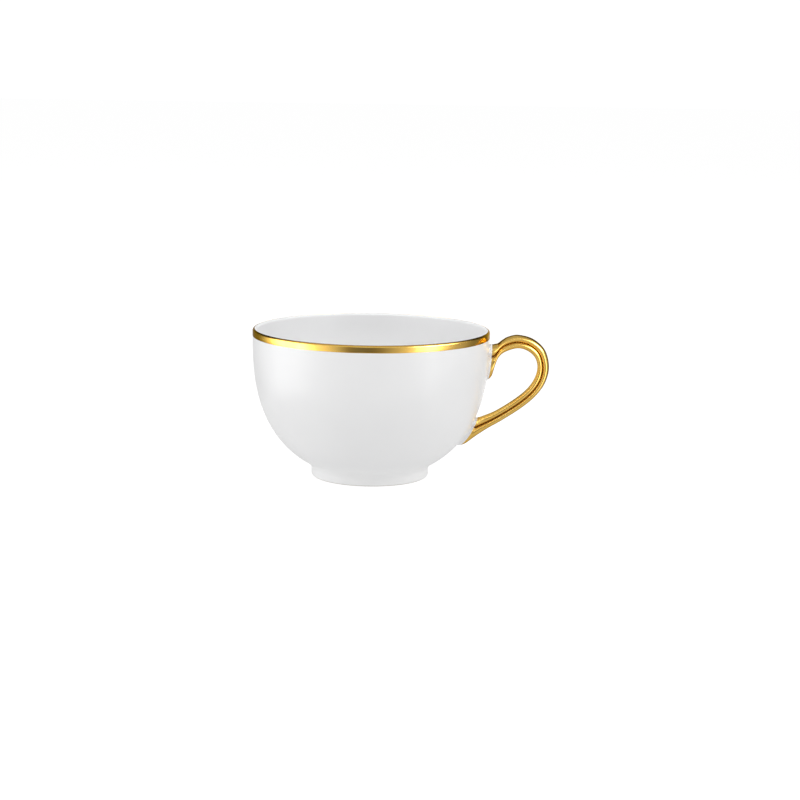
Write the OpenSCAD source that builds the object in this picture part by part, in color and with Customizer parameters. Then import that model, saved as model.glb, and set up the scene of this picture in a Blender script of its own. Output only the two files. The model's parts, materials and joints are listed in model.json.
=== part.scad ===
// A porcelain teacup: a rounded bowl on a low foot ring, a two-ribbed loop
// handle stuck on with slip, and burnished gold on the lip and the handle.
// The cup's axis is Z, the table is z = 0 and the handle points along +X.

/* [Bowl] */
// Radius of the bowl at its widest
bowl_r = 48; // [45:0.5:51]
// Height from the table to the top of the lip
cup_h = 60.4; // [59:0.2:63]
// How far below the lip the bowl is widest
shoulder_drop = 2.4; // [2:0.1:3]
// Thickness of the lip
lip_t = 1.9; // [1.6:0.1:2.2]
// Thickness of the floor in the middle
floor_t = 2.7; // [2.4:0.1:3.2]

/* [Foot ring] */
// Radius of the foot ring's outer wall
foot_r = 23.85; // [23:0.05:24.5]
// Radius of the foot ring's inner wall
foot_inner_r = 20.6; // [19.5:0.1:21.2]
// Height of the foot ring
foot_h = 3; // [2.6:0.1:3.4]
// Rounding of the foot ring's two lower edges
foot_edge_r = 0.4; // [0.2:0.05:0.6]
// Radius at which the foot's outer fillet runs out on the bowl
fillet_end_r = 26.5; // [26:0.1:27.5]

/* [Handle] */
// Half the handle's thickness at its outer rib
outer_rib_half = 2.35; // [2:0.05:2.8]
// Half the handle's thickness at its inner rib
inner_rib_half = 2.15; // [1.8:0.05:2.6]
// Half the handle's thickness at the bottom of the groove
groove_half = 1.25; // [0.9:0.05:1.6]
// How far the slip joints spread beyond the handle, on each side
slip_spread = 0.9; // [0.5:0.1:1.3]

/* [Gilding] */
// Height of the gold band on the outside of the lip
band_h = 2.85; // [2:0.05:4]
// Thickness of the gold layers
gold_t = 0.1; // [0.08:0.01:0.15]

/* [Hidden] */
porcelain = "#f4f4f2";
bisque = "#e9e4d8";
gold = "#cfa23c";
slip = "#ececea";
$fn = 96;

// The bowl's outside is a superellipse that hangs down from its widest height.
shoulder_z = cup_h - shoulder_drop;
outer_depth = shoulder_z - 0.1;
outer_n = 2.62;
outer_m = 2.29;
// The inside is a slightly fuller one, so that the wall thickens downwards.
inner_r = bowl_r - lip_t;
inner_depth = shoulder_z - foot_h - floor_t;
inner_n = 2.26;
inner_m = 2.9;
lip_r = lip_t / 2;
lip_z = cup_h - lip_r;
band_z = cup_h - band_h;
// The gold stops this many degrees round the lip, just short of its crest at 90.
gold_stop = 82;
outline_steps = 22;

function superellipse(r, depth, n, m, drop) =
    r * pow(max(0, 1 - pow(max(0, drop) / depth, n)), 1 / m);
function outer_r(z) = superellipse(bowl_r, outer_depth, outer_n, outer_m, shoulder_z - z);
function inner_wall_r(z) = superellipse(inner_r, inner_depth, inner_n, inner_m, shoulder_z - z);
function arc(cx, cy, r, from, to, steps) =
    [for (i = [0:steps]) let (a = from + (to - from) * i / steps)
        [cx + r * cos(a), cy + r * sin(a)]];

// Height on the outside at which the bowl has a given radius, by bisection.
function outer_z(r, low = 0.2, high = shoulder_z, turns = 20) =
    turns == 0 ? low
    : outer_r((low + high) / 2) < r ? outer_z(r, (low + high) / 2, high, turns - 1)
    : outer_z(r, low, (low + high) / 2, turns - 1);
fillet_end_z = outer_z(fillet_end_r);

// The concave fillet between the foot's wall and the bowl, a quadratic curve
// that leaves the foot upright and meets the bowl along its own slope.
fillet_slope = (outer_r(fillet_end_z + 0.1) - outer_r(fillet_end_z - 0.1)) / 0.2;
fillet_corner = [foot_r, fillet_end_z - (fillet_end_r - foot_r) / fillet_slope];
function fillet(u) = pow(1 - u, 2) * [foot_r, foot_h]
    + 2 * u * (1 - u) * fillet_corner + u * u * [fillet_end_r, fillet_end_z];
fillet_line = [for (i = [0:6]) fillet(i / 6)];

// Steps gather where the wall curves most, near the foot and near the floor.
function eased(i, low, high) = low + (high - low) * pow(i / outline_steps, 1.6);
outer_line = [for (i = [1:outline_steps])
    let (z = eased(i, fillet_end_z, shoulder_z)) [outer_r(z), z]];
inner_line = [for (i = [outline_steps:-1:0])
    let (z = shoulder_z - inner_depth + inner_depth * pow(i / outline_steps, 2.2))
        [inner_wall_r(z), z]];

function lip(inset, from, to, steps) =
    arc(bowl_r - lip_r, lip_z, lip_r - inset, from, to, steps);

module bowl() {
    color(porcelain)
        rotate_extrude()
            polygon(concat(
                [[0, foot_h]],
                fillet_line,
                [for (p = outer_line) if (p[1] < band_z - 0.01) p],
                [[outer_r(band_z), band_z], [bowl_r - gold_t, band_z]],
                lip(gold_t, 0, gold_stop, 7),
                lip(0, gold_stop, 180, 8),
                inner_line));
}

module rim_gilding() {
    color(gold)
        rotate_extrude()
            polygon(concat(
                [[bowl_r - gold_t, band_z], [bowl_r, band_z]],
                lip(0, 0, gold_stop, 7),
                lip(gold_t, gold_stop, 0, 7)));
}

module foot_ring() {
    inner_fillet = 0.7;
    color(bisque)
        rotate_extrude()
            polygon(concat(
                arc(foot_inner_r + foot_edge_r, foot_edge_r, foot_edge_r, 180, 270, 4),
                arc(foot_r - foot_edge_r, foot_edge_r, foot_edge_r, 270, 360, 4),
                [[foot_r, foot_h]],
                arc(foot_inner_r - inner_fillet, foot_h - inner_fillet, inner_fillet,
                    90, 0, 4)));
}

// The handle's loop, as sections from its upper end round to its lower end.
// Each row holds a point on the outer edge and one on the inner edge, as X
// beyond the bowl's widest radius and height, then the groove's share of the
// way across, how much thicker the section is than in the loop, and how far
// its middle bows, so that the two ends lie along the wall.
loop_sections = [
    [1.0, 54.6, -0.3, 40.2, 0.33, 1.30, 0.35],
    [2.0, 54.8, 1.1, 41.8, 0.36, 1.28, 0.25],
    [3.4, 55.2, 2.4, 46.2, 0.42, 1.20, 0.1],
    [5.2, 56.6, 3.9, 49.6, 0.48, 1.10, 0],
    [7.5, 57.9, 6.7, 51.8, 0.50, 1.03, 0],
    [11.5, 58.7, 11.5, 53.2, 0.52, 1.00, 0],
    [17.6, 57.1, 15.6, 52.1, 0.51, 1.00, 0],
    [22.5, 52.6, 18.6, 49.3, 0.53, 1.00, 0],
    [24.3, 45.8, 19.6, 45.3, 0.54, 1.00, 0],
    [23.0, 39.5, 18.5, 40.9, 0.50, 1.00, 0],
    [19.4, 34.0, 15.7, 36.7, 0.49, 1.00, 0],
    [13.7, 28.9, 10.9, 32.5, 0.49, 1.00, 0],
    [5.7, 23.5, 3.3, 27.5, 0.50, 1.02, 0],
    [0.1, 20.2, -2.1, 25.1, 0.48, 1.08, 0],
    [-4.8, 16.9, -3.5, 24.6, 0.56, 1.18, -0.2],
    [-8.9, 13.8, -4.0, 24.5, 0.66, 1.26, -0.55],
    [-11.2, 12.8, -4.3, 24.3, 0.72, 1.30, -0.8]];
rings = 48;
arc_steps = 5;
ring_points = 4 * arc_steps;

// A smooth curve through rows of numbers, by the Catmull-Rom rule.
function smooth(rows, t) =
    let (last = len(rows) - 1,
        i = min(floor(t), last - 1),
        u = t - i,
        a = rows[max(i - 1, 0)],
        b = rows[i],
        c = rows[i + 1],
        d = rows[min(i + 2, last)])
    b + 0.5 * u * ((c - a) + u * (2 * a - 5 * b + 4 * c - d + u * (3 * b - a - 3 * c + d)));

// Half of one rib's outline, from its apex to the bottom of the groove. Each
// point is [way across the section, half thickness].
function rib(width, half, waist) =
    let (stop = 180 - asin(waist / half),
        depth = width / (1 - cos(stop)))
    [for (i = [0:arc_steps]) let (a = stop * i / arc_steps)
        [depth * (1 - cos(a)), half * sin(a)]];

// The section's outline: outer rib, groove and inner rib, then back along the
// far side. inset draws it inside itself by that much.
function section(row, inset) =
    let (outer = [row[0], row[1]],
        across = [row[2], row[3]] - outer,
        width = norm(across) - 2 * inset,
        unit = across / norm(across),
        bow = [-unit[1], unit[0]] * 4 * row[6],
        share = row[4],
        waist = groove_half * row[5] - inset,
        near = rib(width * share, outer_rib_half * row[5] - inset, waist),
        far = rib(width * (1 - share), inner_rib_half * row[5] - inset, waist),
        side = concat(near, [for (i = [arc_steps - 1:-1:0]) [width - far[i][0], far[i][1]]]),
        loop = concat(side, [for (i = [len(side) - 2:-1:1]) [side[i][0], -side[i][1]]]))
    [for (q = loop)
        let (way = (q[0] + inset) / norm(across),
            p = outer + across * way + bow * way * (1 - way))
            [bowl_r + p[0], q[1], p[1]]];
function loop_ring(t, inset) = section(smooth(loop_sections, t), inset);
loop_end = len(loop_sections) - 1;

// A point slid level along X onto the bowl's outer wall.
function on_wall(p) = [sqrt(max(0, pow(outer_r(p[2]), 2) - p[1] * p[1])), p[1], p[2]];

// The footprint of a slip joint, a lens laid on the wall: an end section's
// outline without the groove, spread by spread_z above and below, and lifted.
function footprint(ring, spread_z, lift) =
    let (zs = [for (p = ring) p[2]],
        middle = (max(zs) + min(zs)) / 2,
        tall = (max(zs) - min(zs)) / 2,
        wide = max([for (p = ring) p[1]]) + slip_spread)
    [for (p = ring)
        let (up = (p[2] - middle) / tall)
            on_wall([p[0], sign(p[1]) * wide * sqrt(1 - min(1, pow(abs(up), 2.4))),
                middle + lift + up * (tall + spread_z)])];

// A ring part of the way from an end section to the wall. away is 1 at the
// section and 0 at the wall, and spread says how much of the flare it has.
function root_ring(ring, foot, away, spread) =
    [for (i = [0:len(ring) - 1])
        let (level = on_wall(ring[i]))
            ring[i] * away + level * (1 - away) + (foot[i] - level) * spread];

// Triangles between one ring and the next. Rings run anticlockwise as seen
// from the end that they start at, and flip turns them over.
function band(from, to, count, flip = false) =
    [for (i = [0:count - 1], half = [0, 1])
        let (a = from + i,
            b = from + (i + 1) % count,
            c = to + i,
            d = to + (i + 1) % count,
            face = half == 0 ? [a, b, d] : [a, d, c])
        flip ? [face[2], face[1], face[0]] : face];
function bands(first, last, count, flip = false) =
    [for (k = [first:last - 1]) each band(k * count, (k + 1) * count, count, flip)];

// A flat lid on a section, as strips between the two sides of its outline.
function lid(from, flip = false) =
    let (n = ring_points,
        half = n / 2)
    [for (i = [0:half - 1], part = [0, 1])
        let (a = from + i,
            b = from + i + 1,
            c = from + (n - i) % n,
            d = from + n - i - 1,
            face = part == 0 ? [a, c, b] : [b, c, d])
        if (!(i == 0 && part == 0) && !(i == half - 1 && part == 1))
            flip ? [face[2], face[1], face[0]] : face];

function loop_rings(inset) = [for (i = [0:rings]) loop_ring(loop_end * i / rings, inset)];
// How far the core's bare ends go on past the gold, as a share of the way to
// the wall that is left to go.
stub_away = 0.5;
function stub(t) = root_ring(loop_ring(t, gold_t), loop_ring(t, gold_t), stub_away, 0);

module handle() {
    points = concat(stub(0), [for (r = loop_rings(gold_t)) each r], stub(loop_end));
    last = rings + 2;
    color(porcelain)
        polyhedron(points, concat(
            lid(0),
            bands(0, last, ring_points),
            lid(last * ring_points, true)), convexity = 8);
}

module handle_gilding() {
    inside = [for (r = loop_rings(gold_t)) each r];
    outside = [for (r = loop_rings(0)) each r];
    shift = len(outside);
    color(gold)
        polyhedron(concat(outside, inside), concat(
            bands(0, rings, ring_points),
            bands(rings + 1, 2 * rings + 1, ring_points, true),
            band(0, shift, ring_points, true),
            band(shift - ring_points, 2 * shift - ring_points, ring_points)), convexity = 8);
}

// The slip fills the gap between a bare end of the handle and the wall, and
// runs out round it in a concave fillet. backwards is for the upper end, where
// the way to the wall is against the way round the loop.
module slip_joint(t, spread_z, lift, backwards) {
    flare_steps = 5;
    start = loop_ring(t, 0);
    foot = footprint(start, spread_z, lift);
    flare = [for (i = [0:flare_steps]) let (a = 90 * i / flare_steps)
        root_ring(start, foot, 1 - sin(a), 1 - cos(a))];
    middle = (foot[0] + foot[ring_points / 2]) / 2;
    against_wall = [for (s = [0.7, 0.4, 0.12])
        [for (p = foot) on_wall(middle + (p - middle) * s)]];
    rows = concat(flare, against_wall, [loop_ring(t, gold_t)], [stub(t)]);
    wall_row = len(rows) - 3;
    pocket_row = len(rows) - 2;
    color(slip)
        polyhedron([for (r = rows) each r], concat(
            bands(0, wall_row, ring_points, backwards),
            lid(wall_row * ring_points, !backwards),
            band(0, pocket_row * ring_points, ring_points, !backwards),
            bands(pocket_row, pocket_row + 1, ring_points, !backwards),
            lid((pocket_row + 1) * ring_points, backwards)), convexity = 6);
}

module upper_slip_joint() {
    slip_joint(0, 1.4, -0.4, true);
}

module lower_slip_joint() {
    slip_joint(loop_end, 0.5, 0.4, false);
}

bowl();
foot_ring();
handle();
handle_gilding();
rim_gilding();
upper_slip_joint();
lower_slip_joint();
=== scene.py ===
import json
import math

import bpy
from mathutils import Matrix, Vector


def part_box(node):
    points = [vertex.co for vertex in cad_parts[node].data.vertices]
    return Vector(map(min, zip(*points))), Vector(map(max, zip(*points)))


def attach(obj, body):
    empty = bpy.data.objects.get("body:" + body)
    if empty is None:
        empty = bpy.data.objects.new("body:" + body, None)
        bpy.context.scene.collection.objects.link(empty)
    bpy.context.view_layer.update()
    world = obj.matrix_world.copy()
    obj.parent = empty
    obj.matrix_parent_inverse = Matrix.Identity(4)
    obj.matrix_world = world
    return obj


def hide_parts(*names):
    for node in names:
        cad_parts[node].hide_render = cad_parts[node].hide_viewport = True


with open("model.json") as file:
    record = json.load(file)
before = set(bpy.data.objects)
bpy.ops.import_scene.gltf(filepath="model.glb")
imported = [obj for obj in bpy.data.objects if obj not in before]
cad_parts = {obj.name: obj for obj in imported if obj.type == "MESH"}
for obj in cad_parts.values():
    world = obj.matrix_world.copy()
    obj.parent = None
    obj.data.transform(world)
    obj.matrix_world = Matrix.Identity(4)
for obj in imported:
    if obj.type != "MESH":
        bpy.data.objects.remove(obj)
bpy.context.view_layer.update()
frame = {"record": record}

# A porcelain teacup with a gilded lip and handle, dressed on its CAD model. Lengths are in
# metres. The cup's axis is Z, it stands on z = 0 and its handle points along +X.

MM = 0.001

# ---------------------------------------------------------------- sizes
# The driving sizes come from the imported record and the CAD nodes, and the rest repeats the
# shape rules that the CAD model follows.
SIZE = frame["record"]["size"]["bbox_m"]
MOUNTS = {mount["name"]: mount for mount in frame["record"]["mounts"]}
BOWL_R = SIZE[1] / 2
CUP_H = SIZE[2]
FOOT_R = MOUNTS["saucer_seat"]["dims"]["r_mm"] * MM
FOOT_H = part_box("foot_ring")[1].z
BAND_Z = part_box("rim_gilding")[0].z
SHOULDER_DROP = 2.4 * MM
SHOULDER_Z = CUP_H - SHOULDER_DROP
LIP_T = 1.9 * MM
LIP_R = LIP_T / 2
LIP_Z = CUP_H - LIP_R
FLOOR_T = 2.7 * MM
FOOT_INNER_R = 20.6 * MM
# The foot ring's lower edges: the inner one as in the CAD model, and the outer one rounder.
FOOT_EDGE_R = 0.4 * MM
FOOT_OUTER_EDGE_R = 1.2 * MM
FOOT_FILLET_R = 0.7 * MM
FILLET_END_R = 26.5 * MM
GOLD_T = 0.1 * MM
# How far the gold stands proud of the glaze, and how far round the lip it stops.
GOLD_PROUD = 0.03 * MM
GOLD_STOP = math.radians(82)

# The bowl's two superellipses: radius, depth below the shoulder, and the two exponents.
OUTER = (BOWL_R, SHOULDER_Z - 0.1 * MM, 2.62, 2.29)
INNER = (BOWL_R - LIP_T, SHOULDER_Z - FOOT_H - FLOOR_T, 2.26, 2.9)

# Half the handle's thickness at its two ribs and in the groove, and how far the slip spreads
# on the wall beyond the handle's sides, in millimetres. A bare stub reaches half of the way
# from the gold's end to the wall.
OUTER_RIB_HALF = 2.35
INNER_RIB_HALF = 2.15
GROOVE_HALF = 1.25
SLIP_SPREAD = 0.9
STUB_AWAY = 0.5
# How far each slip joint's footprint spreads and shifts up and down the wall, in millimetres.
UPPER_SLIP = (1.4, -0.4)
LOWER_SLIP = (0.5, 0.4)

# The handle's sections, as in the CAD model: a point on the outer edge and one on the inner
# edge, in millimetres beyond the bowl's widest radius and above the table, then the groove's
# share of the way across, the section's thickening, and how far its middle bows.
LOOP_SECTIONS = [
    (1.0, 54.6, -0.3, 40.2, 0.33, 1.30, 0.35),
    (2.0, 54.8, 1.1, 41.8, 0.36, 1.28, 0.25),
    (3.4, 55.2, 2.4, 46.2, 0.42, 1.20, 0.1),
    (5.2, 56.6, 3.9, 49.6, 0.48, 1.10, 0),
    (7.5, 57.9, 6.7, 51.8, 0.50, 1.03, 0),
    (11.5, 58.7, 11.5, 53.2, 0.52, 1.00, 0),
    (17.6, 57.1, 15.6, 52.1, 0.51, 1.00, 0),
    (22.5, 52.6, 18.6, 49.3, 0.53, 1.00, 0),
    (24.3, 45.8, 19.6, 45.3, 0.54, 1.00, 0),
    (23.0, 39.5, 18.5, 40.9, 0.50, 1.00, 0),
    (19.4, 34.0, 15.7, 36.7, 0.49, 1.00, 0),
    (13.7, 28.9, 10.9, 32.5, 0.49, 1.00, 0),
    (5.7, 23.5, 3.3, 27.5, 0.50, 1.02, 0),
    (0.1, 20.2, -2.1, 25.1, 0.48, 1.08, 0),
    (-4.8, 16.9, -3.5, 24.6, 0.56, 1.18, -0.2),
    (-8.9, 13.8, -4.0, 24.5, 0.66, 1.26, -0.55),
    (-11.2, 12.8, -4.3, 24.3, 0.72, 1.30, -0.8)]
LOOP_END = len(LOOP_SECTIONS) - 1

# How finely each surface is drawn.
TURN_STEPS = 256
WALL_STEPS = 90
LOOP_RINGS = 224
RIB_STEPS = 16
FLARE_STEPS = 14
# How much the bottom of the groove is filled, in millimetres on each side.
GROOVE_ROUND = 0.03
# The share of a rib's outline, next to the groove, that gets painted shade and rougher gold.
GROOVE_SHADE_SHARE = 0.22
# How far up the band its lower edge's waver reaches.
WAVER_REACH = 0.8 * MM
# Faces that meet at more than this have a crease between them.
SHARP_ANGLE = math.radians(40)


# ---------------------------------------------------------------- profiles
def superellipse(shape, z):
    """Radius at height z of a superellipse that hangs from the bowl's widest height."""
    r, depth, n, m = shape
    drop = max(0.0, SHOULDER_Z - z)
    return r * max(0.0, 1 - (drop / depth) ** n) ** (1 / m)


def outer_r(z):
    """The outside's radius at height z."""
    return superellipse(OUTER, z)


def outer_z(r):
    """Height on the outside at which the bowl has radius r."""
    low, high = 0.2 * MM, SHOULDER_Z
    for _ in range(40):
        middle = (low + high) / 2
        if outer_r(middle) < r:
            low = middle
        else:
            high = middle
    return low


def arc(cx, cz, r, start, end, steps):
    turn = (end - start) / steps
    return [(cx + r * math.cos(start + turn * i), cz + r * math.sin(start + turn * i))
            for i in range(steps + 1)]


def lip_arc(inset, start, end, steps):
    return arc(BOWL_R - LIP_R, LIP_Z, LIP_R - inset, start, end, steps)


def foot_fillet(steps):
    """The concave curve from the foot's upright wall out to the bowl."""
    end = Vector((FILLET_END_R, outer_z(FILLET_END_R)))
    step = 0.1 * MM
    slope = (outer_r(end.y + step) - outer_r(end.y - step)) / (2 * step)
    start = Vector((FOOT_R, FOOT_H))
    corner = Vector((FOOT_R, end.y - (end.x - start.x) / slope))
    line = []
    for i in range(steps + 1):
        u = i / steps
        point = start * (1 - u) ** 2 + corner * 2 * u * (1 - u) + end * u * u
        line.append((point.x, point.y))
    return line


def bowl_profile():
    """Half of the bowl's outline, from the middle underneath round the lip and down inside."""
    fillet = foot_fillet(14)
    line = [(0, FOOT_H), (FOOT_INNER_R * 0.5, FOOT_H), (FOOT_INNER_R, FOOT_H)] + fillet
    for i in range(1, WALL_STEPS + 1):
        z = fillet[-1][1] + (BAND_Z - fillet[-1][1]) * (i / WALL_STEPS) ** 1.5
        line.append((outer_r(z), z))
    line.append((BOWL_R - GOLD_T, BAND_Z))
    line += lip_arc(GOLD_T, 0, GOLD_STOP, 12)
    line += lip_arc(0, GOLD_STOP, math.pi, 14)
    floor_z = SHOULDER_Z - INNER[1]
    for i in range(WALL_STEPS, -1, -1):
        z = floor_z + INNER[1] * (i / WALL_STEPS) ** 2.6
        line.append((superellipse(INNER, z), z))
    return line


def foot_profile():
    """The foot ring's section, with a rounded edge on each side of its resting face."""
    return (arc(FOOT_INNER_R + FOOT_EDGE_R, FOOT_EDGE_R, FOOT_EDGE_R, math.pi, 1.5 * math.pi, 8)
            + arc(FOOT_R - FOOT_OUTER_EDGE_R, FOOT_OUTER_EDGE_R, FOOT_OUTER_EDGE_R,
                  1.5 * math.pi, 2 * math.pi, 12)
            + [(FOOT_R, FOOT_H * 0.5), (FOOT_R, FOOT_H)]
            + arc(FOOT_INNER_R - FOOT_FILLET_R, FOOT_H - FOOT_FILLET_R, FOOT_FILLET_R,
                  math.pi / 2, 0, 10)
            + [(FOOT_INNER_R, FOOT_H * 0.4)])


# ---------------------------------------------------------------- meshes
def mesh_piece(name, verts, faces):
    mesh = bpy.data.meshes.new(name)
    mesh.from_pydata(verts, [], faces)
    mesh.validate()
    mesh.shade_smooth()
    mesh.set_sharp_from_angle(angle=SHARP_ANGLE)
    piece = bpy.data.objects.new(name, mesh)
    bpy.context.scene.collection.objects.link(piece)
    return piece


def revolved(name, profile, closed, wobble=None):
    """A profile of (radius, height) points turned about Z. An open one starts and ends on the
    axis. wobble lifts a point by its turn and height, for edges drawn by hand."""
    verts, rows = [], []
    for r, z in profile:
        if r < 1e-9:
            rows.append([len(verts)] * TURN_STEPS)
            verts.append((0, 0, z))
            continue
        rows.append(list(range(len(verts), len(verts) + TURN_STEPS)))
        for k in range(TURN_STEPS):
            a = 2 * math.pi * k / TURN_STEPS
            dz = wobble(a, z) if wobble else 0
            verts.append((r * math.cos(a), r * math.sin(a), z + dz))
    if closed:
        rows.append(rows[0])
    faces = []
    for low, high in zip(rows, rows[1:]):
        for k in range(TURN_STEPS):
            n = (k + 1) % TURN_STEPS
            ring = [low[k], low[n], high[n], high[k]]
            face = [v for i, v in enumerate(ring) if v not in ring[:i]]
            if len(face) > 2:
                faces.append(face)
    return mesh_piece(name, verts, faces)


def smooth_row(t):
    """The handle's section at t, by the Catmull-Rom rule through LOOP_SECTIONS."""
    i = min(int(t), LOOP_END - 1)
    u = t - i
    rows = [LOOP_SECTIONS[max(0, min(LOOP_END, k))] for k in (i - 1, i, i + 1, i + 2)]
    return [b + 0.5 * u * ((c - a) + u * (2 * a - 5 * b + 4 * c - d + u * (3 * b - a - 3 * c + d)))
            for a, b, c, d in zip(*rows)]


def rib(width, half, waist):
    """Half of one rib's outline: [way across, half thickness] from its apex to the groove,
    whose bottom is softened a little."""
    stop = math.pi - math.asin(waist / half)
    depth = width / (1 - math.cos(stop))
    line = []
    for i in range(RIB_STEPS + 1):
        a = stop * i / RIB_STEPS
        line.append([depth * (1 - math.cos(a)), half * math.sin(a)])
    line[-1][1] += GROOVE_ROUND
    return line


def section(row, inset=0.0):
    """The handle's outline at one section, in metres: outer rib, groove, inner rib and back."""
    outer, inner = Vector(row[0:2]), Vector(row[2:4])
    across = inner - outer
    length = across.length
    unit = across / length
    share, thick, bow_by = row[4:7]
    bow = Vector((-unit.y, unit.x)) * 4 * bow_by
    width = length - 2 * inset
    waist = GROOVE_HALF * thick - inset
    near = rib(width * share, OUTER_RIB_HALF * thick - inset, waist)
    far = rib(width * (1 - share), INNER_RIB_HALF * thick - inset, waist)
    side = near + [[width - s, y] for s, y in reversed(far[:-1])]
    loop = side + [[s, -y] for s, y in reversed(side[1:-1])]
    ring = []
    for s, y in loop:
        way = (s + inset) / length
        point = outer + across * way + bow * way * (1 - way)
        ring.append(Vector((BOWL_R + point.x * MM, y * MM, point.y * MM)))
    return ring


def loop_ring(t, inset=0.0):
    return section(smooth_row(t), inset)


def on_wall(point):
    """The point slid level along X onto the bowl's outer wall."""
    r = outer_r(point.z)
    return Vector((math.sqrt(max(0.0, r * r - point.y * point.y)), point.y, point.z))


def footprint(ring, spread_z, lift):
    """A lens on the wall: an end section's outline without the groove, spread and lifted."""
    low, high = min(p.z for p in ring), max(p.z for p in ring)
    middle, tall = (high + low) / 2, (high - low) / 2
    wide = max(p.y for p in ring) + SLIP_SPREAD * MM
    foot = []
    for p in ring:
        up = (p.z - middle) / tall
        y = math.copysign(wide * math.sqrt(1 - min(1.0, abs(up) ** 2.4)), p.y)
        foot.append(on_wall(Vector((0, y, middle + lift * MM + up * (tall + spread_z * MM)))))
    return foot


def root_ring(ring, foot, away, spread):
    """A ring part of the way from an end section to the wall, with that much of the flare."""
    points = []
    for p, f in zip(ring, foot):
        level = on_wall(p)
        points.append(p * away + level * (1 - away) + (f - level) * spread)
    return points


def tube_faces(first, rows, count):
    faces = []
    for k in range(rows - 1):
        for i in range(count):
            n = (i + 1) % count
            a, b = first + k * count, first + (k + 1) * count
            faces.append((a + i, a + n, b + n, b + i))
    return faces


def lid_faces(first, count):
    """A lid on a section, as strips between the two sides of its outline."""
    half = count // 2
    faces = [(first, first + count - 1, first + 1)]
    for i in range(1, half - 1):
        faces.append((first + i, first + count - i, first + count - i - 1, first + i + 1))
    faces.append((first + half - 1, first + half + 1, first + half))
    return faces


def flipped(faces):
    return [tuple(reversed(face)) for face in faces]


def handle_core():
    """The porcelain loop under the gold, with a bare stub towards the wall at each end."""
    rings = [loop_ring(LOOP_END * i / LOOP_RINGS, GOLD_T / MM) for i in range(LOOP_RINGS + 1)]
    rings.insert(0, root_ring(rings[0], rings[0], STUB_AWAY, 0))
    rings.append(root_ring(rings[-1], rings[-1], STUB_AWAY, 0))
    count = len(rings[0])
    verts = [p for ring in rings for p in ring]
    faces = (lid_faces(0, count) + tube_faces(0, len(rings), count)
             + flipped(lid_faces(len(verts) - count, count)))
    return mesh_piece("handle_core", verts, flipped(faces))


def in_groove(i):
    """How deep in a groove a section's point i is: 1 at the bottom and 0 on the ribs."""
    steps_away = min(abs(i - RIB_STEPS), abs(i - 3 * RIB_STEPS))
    return max(0.0, 1 - steps_away / (GROOVE_SHADE_SHARE * RIB_STEPS)) ** 1.5


def handle_gold():
    """The gold skin: an outer and an inner tube joined at both open ends."""
    times = [LOOP_END * i / LOOP_RINGS for i in range(LOOP_RINGS + 1)]
    outside = [loop_ring(t) for t in times]
    inside = [loop_ring(t, GOLD_T / MM) for t in times]
    count = len(outside[0])
    verts = [p for ring in outside + inside for p in ring]
    shift = len(outside) * count
    last = shift - count
    faces = tube_faces(0, len(outside), count) + flipped(tube_faces(shift, len(inside), count))
    for i in range(count):
        n = (i + 1) % count
        faces.append((i, shift + i, shift + n, n))
        faces.append((last + i, last + n, shift + last + n, shift + last + i))
    piece = mesh_piece("handle_gold", verts, flipped(faces))
    # Painted shade: this mask darkens the gold down in the groove.
    groove_shade = [in_groove(i) for i in range(count)] * (2 * len(outside))
    attribute = piece.data.attributes.new("groove", "FLOAT", "POINT")
    attribute.data.foreach_set("value", groove_shade)
    return piece


def slip_joint(name, t, spread_z, lift, backwards):
    """The clay that fills between a bare stub and the wall, and runs out in a fillet. Its rows
    go round the wrong way at the handle's first end, which backwards puts right."""
    start = loop_ring(t)
    foot = footprint(start, spread_z, lift)
    rows = []
    for i in range(FLARE_STEPS + 1):
        a = math.pi / 2 * i / FLARE_STEPS
        rows.append(root_ring(start, foot, 1 - math.sin(a), 1 - math.cos(a)))
    middle = (foot[0] + foot[len(foot) // 2]) / 2
    for share in (0.85, 0.65, 0.45, 0.25, 0.1):
        rows.append([on_wall(middle + (p - middle) * share) for p in foot])
    outer_rows = len(rows)
    pocket = loop_ring(t, GOLD_T / MM)
    rows += [pocket, root_ring(pocket, pocket, STUB_AWAY, 0)]
    count = len(start)
    pocket_at = outer_rows * count
    faces = tube_faces(0, outer_rows, count) + flipped(lid_faces(pocket_at - count, count))
    faces += [(i, pocket_at + i, pocket_at + (i + 1) % count, (i + 1) % count)
              for i in range(count)]
    faces += flipped(tube_faces(pocket_at, 2, count)) + lid_faces(pocket_at + count, count)
    if not backwards:
        faces = flipped(faces)
    return mesh_piece(name, [p for row in rows for p in row], faces)


def rim_gold():
    """The band on the lip. Its lower edge wavers a little, as a line drawn by hand does."""
    outer = ([(BOWL_R - GOLD_T, BAND_Z), (BOWL_R, BAND_Z),
              (BOWL_R + GOLD_PROUD, BAND_Z + 2 * GOLD_PROUD),
              (BOWL_R + GOLD_PROUD, (BAND_Z + LIP_Z) / 2)]
             + lip_arc(-GOLD_PROUD, 0, GOLD_STOP, 14))
    inner = lip_arc(GOLD_T, GOLD_STOP, 0, 12)
    profile = outer + inner

    def waver(a, z):
        near_edge = max(0.0, 1 - (z - BAND_Z) / WAVER_REACH)
        return -near_edge * MM * (0.03 + 0.02 * math.sin(3 * a + 1) + 0.012 * math.sin(17 * a))

    return revolved("rim_gold", profile, True, waver)


# ---------------------------------------------------------------- materials
CLAY_DEEP = (0.797, 0.798, 0.802)
CLAY_PALE = (0.822, 0.823, 0.826)
# The whiter glaze colour near the foot is painted light.
GLAZE_PAINTED_LIGHT = (0.887, 0.888, 0.887)
# Bare clay, painted darker as contact shade along the foot's resting edge.
BISQUE_AND_SHADE = (0.62, 0.60, 0.565)
GOLD_DEEP = (0.96, 0.59, 0.13)
GOLD_PALE = (1.0, 0.65, 0.17)
GOLD_EDGE = (0.42, 0.34, 0.2)
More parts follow.
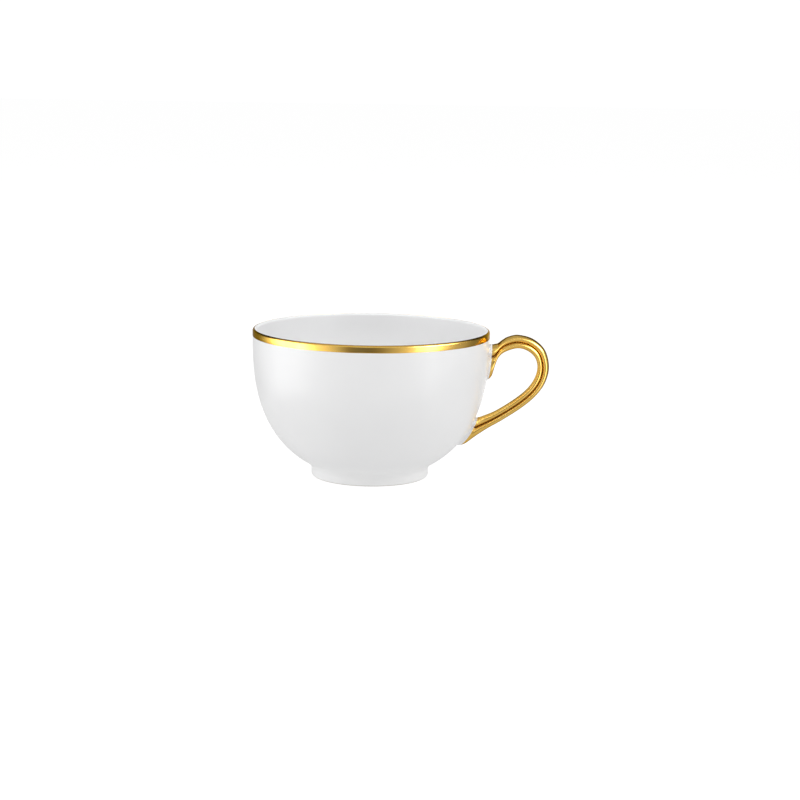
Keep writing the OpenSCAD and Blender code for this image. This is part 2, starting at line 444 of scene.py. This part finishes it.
# A dark brown painted shade for the gold down in the handle's groove.
GROOVE_SHADE_GOLD = (0.17, 0.07, 0.015)
COAT_WEIGHT = 0.28
# Heights on the foot between which the glaze is painted whiter towards the bottom as painted
# light, and below which the clay is bare, its colour darkened as painted contact shade.
PAINTED_LIGHT_Z = (0.002, 0.011)
BARE_AND_SHADE_Z = (0.0005, 0.0007)


def new_material(name):
    material = bpy.data.materials.new(name)
    material.use_nodes = True
    nodes = material.node_tree.nodes
    return material, nodes, material.node_tree.links, nodes["Principled BSDF"]


def object_coords(nodes):
    return nodes.new("ShaderNodeTexCoord").outputs["Object"]


def noise(nodes, links, coords, scale, detail=3.0, roughness=0.5, stretch=None):
    if stretch:
        mapping = nodes.new("ShaderNodeMapping")
        mapping.inputs["Scale"].default_value = stretch
        links.new(coords, mapping.inputs["Vector"])
        coords = mapping.outputs["Vector"]
    texture = nodes.new("ShaderNodeTexNoise")
    texture.inputs["Scale"].default_value = scale
    texture.inputs["Detail"].default_value = detail
    texture.inputs["Roughness"].default_value = roughness
    links.new(coords, texture.inputs["Vector"])
    return texture.outputs["Fac"]


def remap(nodes, links, value, low, high, to_low, to_high):
    node = nodes.new("ShaderNodeMapRange")
    node.interpolation_type = "SMOOTHSTEP"
    node.inputs["From Min"].default_value = low
    node.inputs["From Max"].default_value = high
    node.inputs["To Min"].default_value = to_low
    node.inputs["To Max"].default_value = to_high
    links.new(value, node.inputs["Value"])
    return node.outputs["Result"]


def ramp(nodes, links, value, stops):
    node = nodes.new("ShaderNodeValToRGB")
    elements = node.color_ramp.elements
    while len(elements) < len(stops):
        elements.new(0.5)
    for element, (place, colour) in zip(elements, stops):
        element.position = place
        element.color = (*colour, 1)
    links.new(value, node.inputs["Fac"])
    return node.outputs["Color"]


def bump(nodes, links, height, strength, distance):
    node = nodes.new("ShaderNodeBump")
    node.inputs["Strength"].default_value = strength
    node.inputs["Distance"].default_value = distance
    links.new(height, node.inputs["Height"])
    return node.outputs["Normal"]


def mix_colour(nodes, links, factor, first, second):
    node = nodes.new("ShaderNodeMix")
    node.data_type = "RGBA"
    links.new(factor, node.inputs["Factor"])
    for socket, value in zip((node.inputs["A"], node.inputs["B"]), (first, second)):
        if isinstance(value, tuple):
            socket.default_value = (*value, 1)
        else:
            links.new(value, socket)
    return node.outputs["Result"]


def glaze_coat(bsdf):
    """A clear glaze over the clay, softly glossy."""
    bsdf.inputs["IOR"].default_value = 1.5
    bsdf.inputs["Specular IOR Level"].default_value = 0.15
    bsdf.inputs["Coat Weight"].default_value = COAT_WEIGHT
    bsdf.inputs["Coat Roughness"].default_value = 0.2
    bsdf.inputs["Coat IOR"].default_value = 1.5


def glazed_clay(nodes, links, bsdf, coords):
    """The glazed clay's colour, roughness, height and faintly rippled surface. Its colour is
    painted a little whiter towards the foot, as painted light."""
    glaze_coat(bsdf)
    clouds = noise(nodes, links, coords, 38, 4)
    ripple = noise(nodes, links, coords, 70, 2)
    links.new(bump(nodes, links, ripple, 0.25, 0.0003), bsdf.inputs["Coat Normal"])
    split = nodes.new("ShaderNodeSeparateXYZ")
    links.new(coords, split.inputs["Vector"])
    height = split.outputs["Z"]
    wall = ramp(nodes, links, clouds, [(0.3, CLAY_DEEP), (0.7, CLAY_PALE)])
    # Painted light: the colour turns whiter towards the foot.
    painted_light = remap(nodes, links, height, *PAINTED_LIGHT_Z, 1, 0)
    colour = mix_colour(nodes, links, painted_light, wall, GLAZE_PAINTED_LIGHT)
    return colour, remap(nodes, links, clouds, 0.3, 0.7, 0.28, 0.36), height


def porcelain_material():
    """White porcelain under a clear glaze, with faint clouds and a faint ripple."""
    material, nodes, links, bsdf = new_material("porcelain_glaze")
    colour, roughness, _ = glazed_clay(nodes, links, bsdf, object_coords(nodes))
    links.new(colour, bsdf.inputs["Base Color"])
    links.new(roughness, bsdf.inputs["Roughness"])
    return material


def mix_value(nodes, links, factor, first, second):
    node = nodes.new("ShaderNodeMix")
    links.new(factor, node.inputs["Factor"])
    for socket, value in zip((node.inputs["A"], node.inputs["B"]), (first, second)):
        if isinstance(value, float):
            socket.default_value = value
        else:
            links.new(value, socket)
    return node.outputs["Result"]


def foot_material():
    """The foot ring: glazed on its walls, ground bare and slightly rough where it rests, where its
    colour is also darkened as painted contact shade.
    """
    material, nodes, links, bsdf = new_material("foot_glaze_and_bisque")
    coords = object_coords(nodes)
    colour, roughness, height = glazed_clay(nodes, links, bsdf, coords)
    grain = noise(nodes, links, coords, 2600, 4, 0.6)
    edge = nodes.new("ShaderNodeMath")
    edge.operation = "MULTIPLY_ADD"
    links.new(grain, edge.inputs[0])
    edge.inputs[1].default_value = 0.00025
    links.new(height, edge.inputs[2])
    # The bare resting edge: bare clay, with its colour darkened as painted contact shade.
    bare_and_shade = remap(nodes, links, edge.outputs[0], *BARE_AND_SHADE_Z, 1, 0)
    links.new(mix_colour(nodes, links, bare_and_shade, colour, BISQUE_AND_SHADE), bsdf.inputs["Base Color"])
    links.new(mix_value(nodes, links, bare_and_shade, roughness, 0.8), bsdf.inputs["Roughness"])
    links.new(remap(nodes, links, bare_and_shade, 0, 1, COAT_WEIGHT, 0), bsdf.inputs["Coat Weight"])
    links.new(bump(nodes, links, grain, 0.15, 0.00006), bsdf.inputs["Normal"])
    return material


def gold_base(name, streak_scale, smooth, rough, relief):
    """Gold with slightly duller patches and fine burnishing streaks, between two roughnesses."""
    material, nodes, links, bsdf = new_material(name)
    coords = object_coords(nodes)
    bsdf.inputs["Metallic"].default_value = 1.0
    bsdf.inputs["Specular Tint"].default_value = (*GOLD_EDGE, 1)
    patches = noise(nodes, links, coords, 150, 3)
    streaks = noise(nodes, links, coords, 900, 3, 0.6, streak_scale)
    colour = ramp(nodes, links, patches, [(0.35, GOLD_DEEP), (0.65, GOLD_PALE)])
    roughness = remap(nodes, links, streaks, 0.3, 0.7, smooth, rough)
    links.new(bump(nodes, links, streaks, relief, 0.00004), bsdf.inputs["Normal"])
    return material, nodes, links, bsdf, colour, roughness


def band_gold_material():
    """The band's gold, burnished bright."""
    material, nodes, links, bsdf, colour, roughness = gold_base(
        "gold_band", (0.25, 0.25, 2.0), 0.12, 0.20, 0.08)
    links.new(colour, bsdf.inputs["Base Color"])
    links.new(roughness, bsdf.inputs["Roughness"])
    return material


def handle_gold_material():
    """The handle's gold: satin on the ribs, and rougher down in the grooves, where painted shade
    darkens it brown.
    """
    material, nodes, links, bsdf, colour, roughness = gold_base(
        "gold_handle", (0.5, 0.5, 0.5), 0.15, 0.18, 0.02)
    groove = nodes.new("ShaderNodeAttribute")
    groove.attribute_name = "groove"
    depth = groove.outputs["Fac"]
    # Painted shade: the gold is painted dark brown down in the groove, which is also rougher
    # there.
    links.new(mix_colour(nodes, links, depth, colour, GROOVE_SHADE_GOLD), bsdf.inputs["Base Color"])
    links.new(mix_value(nodes, links, depth, roughness, 0.6), bsdf.inputs["Roughness"])
    return material


# ---------------------------------------------------------------- the cup
def place(piece, slot, material, *nodes):
    piece.data.materials.append(material)
    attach(piece, "root")
    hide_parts(*nodes)
    return piece


def make_cup():
    porcelain = porcelain_material()
    place(revolved("bowl_body", bowl_profile(), False), "porcelain", porcelain, "bowl")
    place(revolved("foot", foot_profile(), True), "bisque", foot_material(), "foot_ring")
    place(rim_gold(), "gold", band_gold_material(), "rim_gilding")
    place(handle_gold(), "gold", handle_gold_material(), "handle_gilding")
    place(handle_core(), "porcelain", porcelain, "handle")
    place(slip_joint("upper_slip", 0, *UPPER_SLIP, True), "slip", porcelain,
          "upper_slip_joint")
    place(slip_joint("lower_slip", LOOP_END, *LOWER_SLIP, False), "slip", porcelain,
          "lower_slip_joint")


# ---------------------------------------------------------------- stage, light and camera
FLOOR_HALF = 6.0
FLOOR_Z = -0.05 * MM
# How bright the floor and the room are in the light that they cast, and to the camera.
FLOOR_LIGHT, FLOOR_SEEN = 0.71, 0.9
ROOM_LIGHT, ROOM_SEEN = 0.465, 1.1


def emission_material(name, colour, strength):
    material = bpy.data.materials.new(name)
    material.use_nodes = True
    nodes = material.node_tree.nodes
    nodes.clear()
    out = nodes.new("ShaderNodeOutputMaterial")
    glow = nodes.new("ShaderNodeEmission")
    glow.inputs["Color"].default_value = (*colour, 1)
    glow.inputs["Strength"].default_value = strength
    material.node_tree.links.new(glow.outputs[0], out.inputs["Surface"])
    return material, glow


def for_camera(nodes, links, level, camera_level):
    """A level that is one value in the camera's view and another in the light that is cast."""
    path = nodes.new("ShaderNodeLightPath")
    node = nodes.new("ShaderNodeMapRange")
    node.inputs["To Min"].default_value = level
    node.inputs["To Max"].default_value = camera_level
    links.new(path.outputs["Is Camera Ray"], node.inputs["Value"])
    return node.outputs["Result"]


def make_floor():
    """White paper with a glow of its own, so that the shadow on it stays faint. It lies a
    hair below the foot, so that the two don't share a plane."""
    corners = [(-FLOOR_HALF, -FLOOR_HALF), (FLOOR_HALF, -FLOOR_HALF),
               (FLOOR_HALF, FLOOR_HALF), (-FLOOR_HALF, FLOOR_HALF)]
    floor = mesh_piece("floor", [(x, y, FLOOR_Z) for x, y in corners], [(0, 1, 2, 3)])
    material, nodes, links, bsdf = new_material("floor_paper")
    bsdf.inputs["Base Color"].default_value = (0.2, 0.2, 0.2, 1)
    bsdf.inputs["Roughness"].default_value = 0.9
    bsdf.inputs["Specular IOR Level"].default_value = 0.0
    bsdf.inputs["Emission Color"].default_value = (1, 1, 1, 1)
    links.new(for_camera(nodes, links, FLOOR_LIGHT, FLOOR_SEEN),
              bsdf.inputs["Emission Strength"])
    floor.data.materials.append(material)
    floor.visible_glossy = False


# What polished gold and glaze mirror in the small tent round the cup: its wall's brightness by
# azimuth in degrees, from the camera's side towards the handle's. A bright card stands on
# each side, with a dark gap between them where the camera looks in.
TENT_R = 160 * MM
TENT_Z = 0.4 * MM
TENT_WALL_H = 90 * MM
TENT_KEYS = [(-180, 1.0), (-158, 1.0), (-146, 0.5), (-127, 0.27), (-117, 0.32), (-108, 0.62),
             (-98, 1.3), (-88, 3.2), (-80, 4.0), (-62, 4.0), (-54, 2.8), (-44, 1.3), (-35, 0.92),
             (-26, 0.55), (-17, 0.22), (-9, 0.17), (0, 0.16), (9, 0.26), (17, 0.43), (26, 0.67),
             (35, 1.0), (44, 2.4), (50, 3.4), (56, 3.0), (63, 1.3), (71, 0.72), (80, 0.47),
             (89, 0.42), (98, 0.25), (124, 0.2), (132, 0.4), (142, 1.2), (156, 1.3), (180, 1.0)]
FLOOR_GLOW = 0.6
SKY_GLOW = 0.75
ZENITH_GLOW = 0.45
BACK_GLOW = 0.04
# A small bright card high on the handle's side.
SPOT_AZIMUTH, SPOT_Z, SPOT_GLOW = 58, 106 * MM, 10.0
SPOT_SPREAD_DEGREES, SPOT_SPREAD_Z = 20, 26 * MM


def between(value, low, high):
    """How far value is on the way from low to high, held within 0 and 1."""
    return max(0.0, min(1.0, (value - low) / (high - low)))


def tent_glow(azimuth, r, z):
    """The tent's brightness: its ground card, its wall, and the roof that the wall fades to."""
    for (a, low), (b, high) in zip(TENT_KEYS, TENT_KEYS[1:]):
        if a <= azimuth <= b:
            wall = low + (high - low) * between(azimuth, a, b)
            break
    if z < 1 * MM:
        on_floor = between(TENT_R - r, 0, 50 * MM)
        return wall + (FLOOR_GLOW - wall) * on_floor
    back = between(abs(azimuth), 88, 108)
    sky = SKY_GLOW + (BACK_GLOW - SKY_GLOW) * back
    sky += (ZENITH_GLOW - sky) * between(z, 150 * MM, 220 * MM)
    level = wall + (sky - wall) * between(z, 60 * MM + 40 * MM * (1 - back), 120 * MM)
    off_spot = math.hypot((azimuth - SPOT_AZIMUTH) / SPOT_SPREAD_DEGREES,
                          (z - SPOT_Z) / SPOT_SPREAD_Z)
    return level + SPOT_GLOW * (1 - between(off_spot, 0.4, 1.4))


def make_tent():
    """A small tent and ground card that only glossy rays see. They carry what the studio looks
    like from the cup, and the floor and the world carry what it looks like to the camera."""
    columns, floor_rings, wall_rings, top_rings = 144, 16, 12, 22
    rings = [(TENT_R * (k + 1) / floor_rings, TENT_Z) for k in range(floor_rings)]
    rings += [(TENT_R, TENT_Z + TENT_WALL_H * (k + 1) / wall_rings) for k in range(wall_rings)]
    for k in range(top_rings):
        a = math.pi / 2 * (k + 1) / (top_rings + 1)
        rings.append((TENT_R * math.cos(a), TENT_Z + TENT_WALL_H + TENT_R * math.sin(a)))
    verts, glows = [], []
    for r, z in rings:
        for i in range(columns):
            azimuth = -180 + 360 * i / columns
            a = math.radians(azimuth)
            verts.append((r * math.sin(a), -r * math.cos(a), z))
            glows.append(tent_glow(azimuth, r, z))
    faces = tube_faces(0, len(rings), columns)
    faces.append(tuple(range(columns)))
    faces.append(tuple(range(len(verts) - columns, len(verts))))
    tent = mesh_piece("tent", verts, faces)
    attribute = tent.data.attributes.new("glow", "FLOAT", "POINT")
    attribute.data.foreach_set("value", glows)
    material, glow = emission_material("tent_cloth", (1, 1, 1), 1.0)
    node = material.node_tree.nodes.new("ShaderNodeAttribute")
    node.attribute_name = "glow"
    material.node_tree.links.new(node.outputs["Fac"], glow.inputs["Strength"])
    tent.data.materials.append(material)
    only_glossy(tent)


def only_glossy(obj):
    """Part of the stage that is seen in reflections and nowhere else."""
    obj.visible_camera = False
    obj.visible_diffuse = False
    obj.visible_transmission = False
    obj.visible_volume_scatter = False
    obj.visible_shadow = False


# The softboxes: name, place, the point it faces, width, height and power.
SOFTBOXES = [
    ("left_softbox", (-0.95, 0.08, 0.16), (0, 0, 0.03), 1.0, 0.32, 2.95),
    ("right_softbox", (0.95, 0.08, 0.18), (0, 0, 0.03), 0.6, 0.7, 3.4),
    ("top_softbox", (0, -0.2, 1.2), (0, 0, 0.03), 0.8, 0.8, 7.6),
    ("front_softbox", (0, -0.8, 0.8), (0, 0, 0.05), 0.6, 0.6, 3.1)]


def area_light(name, place_at, aim, width, height, power):
    data = bpy.data.lights.new(name, "AREA")
    data.shape = "RECTANGLE"
    data.size = width
    data.size_y = height
    data.energy = power
    light = bpy.data.objects.new(name, data)
    direction = Vector(aim) - Vector(place_at)
    light.location = place_at
    light.rotation_euler = direction.to_track_quat("-Z", "Y").to_euler()
    light.visible_camera = False
    light.visible_glossy = False
    bpy.context.scene.collection.objects.link(light)


def make_world():
    """A soft white room: the camera sees pure white, and the cup is lit a little less."""
    world = bpy.data.worlds.new("studio")
    world.use_nodes = True
    tree = world.node_tree
    background = tree.nodes["Background"]
    background.inputs["Color"].default_value = (1, 1, 1, 1)
    tree.links.new(for_camera(tree.nodes, tree.links, ROOM_LIGHT, ROOM_SEEN),
                   background.inputs["Strength"])
    bpy.context.scene.world = world


def make_lights():
    make_world()
    for softbox in SOFTBOXES:
        area_light(*softbox)


CAMERA_AIM = Vector((12.0, 0, 31.15)) * MM
CAMERA_DISTANCE = 794.4 * MM
CAMERA_ELEVATION = math.radians(10.08)
CAMERA_ROLL = math.radians(0.86)
CAMERA_LENS = 87.73
CAMERA_SENSOR = 36


def make_camera():
    data = bpy.data.cameras.new("camera")
    data.lens = CAMERA_LENS
    data.sensor_width = CAMERA_SENSOR
    data.clip_start = 0.01
    camera = bpy.data.objects.new("camera", data)
    back = Vector((0, -math.cos(CAMERA_ELEVATION), math.sin(CAMERA_ELEVATION)))
    turn = (-back).to_track_quat("-Z", "Y").to_matrix().to_4x4()
    camera.matrix_world = (Matrix.Translation(CAMERA_AIM + back * CAMERA_DISTANCE) @ turn
                           @ Matrix.Rotation(CAMERA_ROLL, 4, "Z"))
    bpy.context.scene.collection.objects.link(camera)
    bpy.context.scene.camera = camera


make_cup()
make_floor()
make_tent()
make_lights()
make_camera()
bpy.context.scene.view_settings.view_transform = "Standard"
